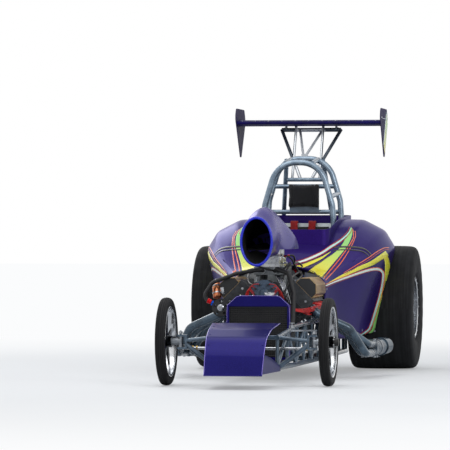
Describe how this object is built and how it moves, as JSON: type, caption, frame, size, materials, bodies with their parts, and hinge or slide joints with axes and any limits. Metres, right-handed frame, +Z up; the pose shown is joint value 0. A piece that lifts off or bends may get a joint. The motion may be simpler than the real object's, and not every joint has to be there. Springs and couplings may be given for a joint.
{
  "type": "drag racing car",
  "caption": "Front-engined altered drag car: open V8 with air scoop, tube frame, wide rear slicks, steered narrow front wheels, roll cage and rear wing.",
  "frame": {"origin": "on the ground below the centre of the bounding box", "axes": "+X to the car's left, +Y to its rear, +Z up"},
  "size_m": [1.57, 4.244, 1.848],
  "materials": {
    "tyre": "matt black rubber",
    "polished_alloy": "polished",
    "steel": "bare",
    "black_steel": "satin black",
    "grey_frame": "satin blue grey",
    "cast_black": "painted",
    "alloy": "cast or rolled",
    "bronze_cover": "satin bronze",
    "violet_body": "gloss violet with stripes",
    "indigo_body": "gloss indigo",
    "black_plastic": "moulded",
    "dark_pipe": "ceramic coated",
    "black_core": "matt black fins",
    "black_cloth": "woven",
    "black_wing": "satin black",
    "hose_rubber": "braided black"
  },
  "bodies": {
    "chassis": {"air_scoop": "violet_body", "body_shell": "violet_body", "brake_calipers": "steel", "cage_bars": "grey_frame", "cage_hoops": "grey_frame", "carburettors": "alloy", "chute_tray": "alloy", "cockpit_cowl": "violet_body", "crossmembers": "grey_frame", "cylinder_heads": "alloy", "engine_block": "cast_black", "firewall": "alloy", "floor_pan": "alloy", "front_axle": "grey_frame", "front_pulleys": "black_steel", "fuel_tank": "alloy", "gearbox": "alloy", "header_left": "dark_pipe", "header_right": "dark_pipe", "headrest": "black_cloth", "headrest_plate": "grey_frame", "hoses": "hose_rubber", "intake_manifold": "alloy", "magneto": "black_plastic", "nose_cover": "indigo_body", "oil_pump": "black_steel", "parachute_pack": "black_cloth", "radiator_core": "black_core", "radiator_surround": "indigo_body", "rear_axle_housing": "black_steel", "seat": "alloy", "seat_pad": "black_cloth", "side_frame_left": "grey_frame", "side_frame_right": "grey_frame", "steering_box": "black_steel", "tow_eye": "steel", "valve_covers": "bronze_cover", "wing": "black_wing", "wing_end_plates": "violet_body", "wing_struts": "grey_frame"},
    "steer_left": {"knuckle_left": "steel"},
    "steer_right": {"knuckle_right": "steel"},
    "tie_rod": {"tie_rod": "steel"},
    "front_wheel_left": {"front_tyre_left": "tyre", "front_rim_left": "polished_alloy"},
    "front_wheel_right": {"front_tyre_right": "tyre", "front_rim_right": "polished_alloy"},
    "rear_wheels": {"rear_axle_shaft": "steel", "rear_rim_left": "polished_alloy", "rear_rim_right": "polished_alloy", "rear_tyre_left": "tyre", "rear_tyre_right": "tyre"},
    "pitman_arm": {"pitman_arm": "steel"},
    "drag_link": {"drag_link": "steel"},
    "steering_wheel": {"steering_wheel": "black_plastic"}
  },
  "joints": [
    {"name": "steer_left", "type": "hinge", "parent": "chassis", "child": "steer_left", "pos_m": [0.427, -1.498, 0.278], "axis": [0, 0, 1], "range_deg": [-16, 16]},
    {"name": "steer_right", "type": "hinge", "parent": "chassis", "child": "steer_right", "pos_m": [-0.427, -1.498, 0.278], "axis": [0, 0, 1], "range_deg": [-16, 16]},
    {"name": "tie_rod_swing", "type": "hinge", "parent": "steer_left", "child": "tie_rod", "pos_m": [0.427, -1.388, 0.2335], "axis": [0, 0, 1], "range_deg": [-16, 16]},
    {"name": "front_spin_left", "type": "hinge", "parent": "steer_left", "child": "front_wheel_left", "pos_m": [0.518, -1.498, 0.2795], "axis": [1, 0, 0], "continuous": true},
    {"name": "front_spin_right", "type": "hinge", "parent": "steer_right", "child": "front_wheel_right", "pos_m": [-0.518, -1.498, 0.2795], "axis": [1, 0, 0], "continuous": true},
    {"name": "rear_spin", "type": "hinge", "parent": "chassis", "child": "rear_wheels", "pos_m": [0, 1.502, 0.435], "axis": [1, 0, 0], "continuous": true},
    {"name": "pitman_swing", "type": "hinge", "parent": "chassis", "child": "pitman_arm", "pos_m": [0.2958, 0.452, 0.52], "axis": [1, 0, 0], "range_deg": [-16, 16]},
    {"name": "drag_link_swing", "type": "hinge", "parent": "pitman_arm", "child": "drag_link", "pos_m": [0.285, 0.452, 0.378], "axis": [1, 0, 0], "range_deg": [-16, 16]},
    {"name": "steering_wheel_turn", "type": "hinge", "parent": "chassis", "child": "steering_wheel", "pos_m": [0, 0.854, 0.874], "axis": [0, 0.7505, 0.6609], "range_deg": [-96, 96]}
  ],
  "couplings": [
    {"joint": "steer_right", "follows": "steer_left", "ratio": 1},
    {"joint": "tie_rod_swing", "follows": "steer_left", "ratio": -1},
    {"joint": "pitman_swing", "follows": "steer_left", "ratio": -1},
    {"joint": "drag_link_swing", "follows": "steer_left", "ratio": 1},
    {"joint": "steering_wheel_turn", "follows": "steer_left", "ratio": 6}
  ]
}
